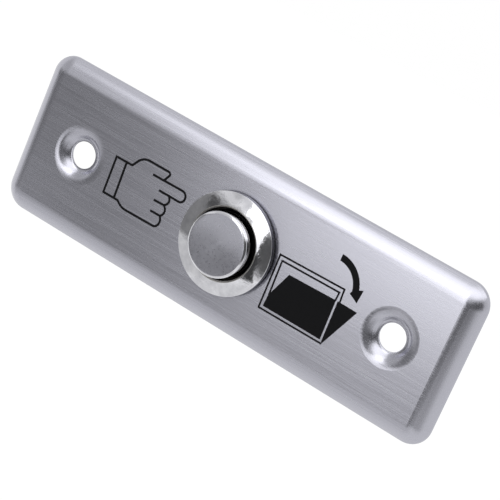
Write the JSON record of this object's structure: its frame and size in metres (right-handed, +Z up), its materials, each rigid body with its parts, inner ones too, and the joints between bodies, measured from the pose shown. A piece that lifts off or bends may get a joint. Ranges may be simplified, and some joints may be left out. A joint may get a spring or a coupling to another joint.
{
  "type": "door exit button",
  "caption": "Narrow pressed stainless steel wall plate with rounded edges, dimpled screw holes, hand and door signs, and a round metal push button in a bevelled bezel.",
  "frame": {"origin": "centre of the plate in the plane of the wall, on the button's axis", "axes": "+Z up across the plate, +X along the plate from the hand sign to the door sign, +Y into the wall, so the button is pressed towards +Y"},
  "size_m": [0.092, 0.0232, 0.03],
  "materials": {
    "brushed_stainless": "brushed along the plate's length",
    "polished_nickel": "polished",
    "turned_cap_metal": "fine turned face with a polished edge",
    "nickel_nut": "satin",
    "zinc_steel": "zinc plated",
    "spring_steel": "drawn wire",
    "contact_silver": "satin",
    "brass_strip": "stamped",
    "black_rubber": "matt",
    "white_plastic": "moulded",
    "black_plastic": "moulded"
  },
  "bodies": {
    "plate_assembly": {"face_plate": "brushed_stainless", "panel_seal": "black_rubber", "button_housing": "polished_nickel", "lock_washer": "zinc_steel", "panel_nut": "nickel_nut", "return_spring": "spring_steel", "terminal_base": "black_plastic", "terminal_left": "brass_strip", "terminal_right": "brass_strip", "fixed_contact_left": "contact_silver", "fixed_contact_right": "contact_silver", "clamp_washer_left": "zinc_steel", "clamp_washer_right": "zinc_steel", "terminal_screw_left": "zinc_steel", "terminal_screw_right": "zinc_steel"},
    "push_button": {"push_cap": "turned_cap_metal", "cap_oring": "black_rubber", "retaining_clip": "spring_steel", "plunger": "white_plastic", "contact_spring": "spring_steel", "contact_bridge": "brass_strip", "moving_contact_left": "contact_silver", "moving_contact_right": "contact_silver"}
  },
  "joints": [
    {"name": "button_press", "type": "slide", "parent": "plate_assembly", "child": "push_button", "axis": [0, 1, 0], "range_m": [0, 0.0018], "stiffness_N_per_m": 900, "springref_m": -0.002, "deforming": ["return_spring"]}
  ]
}
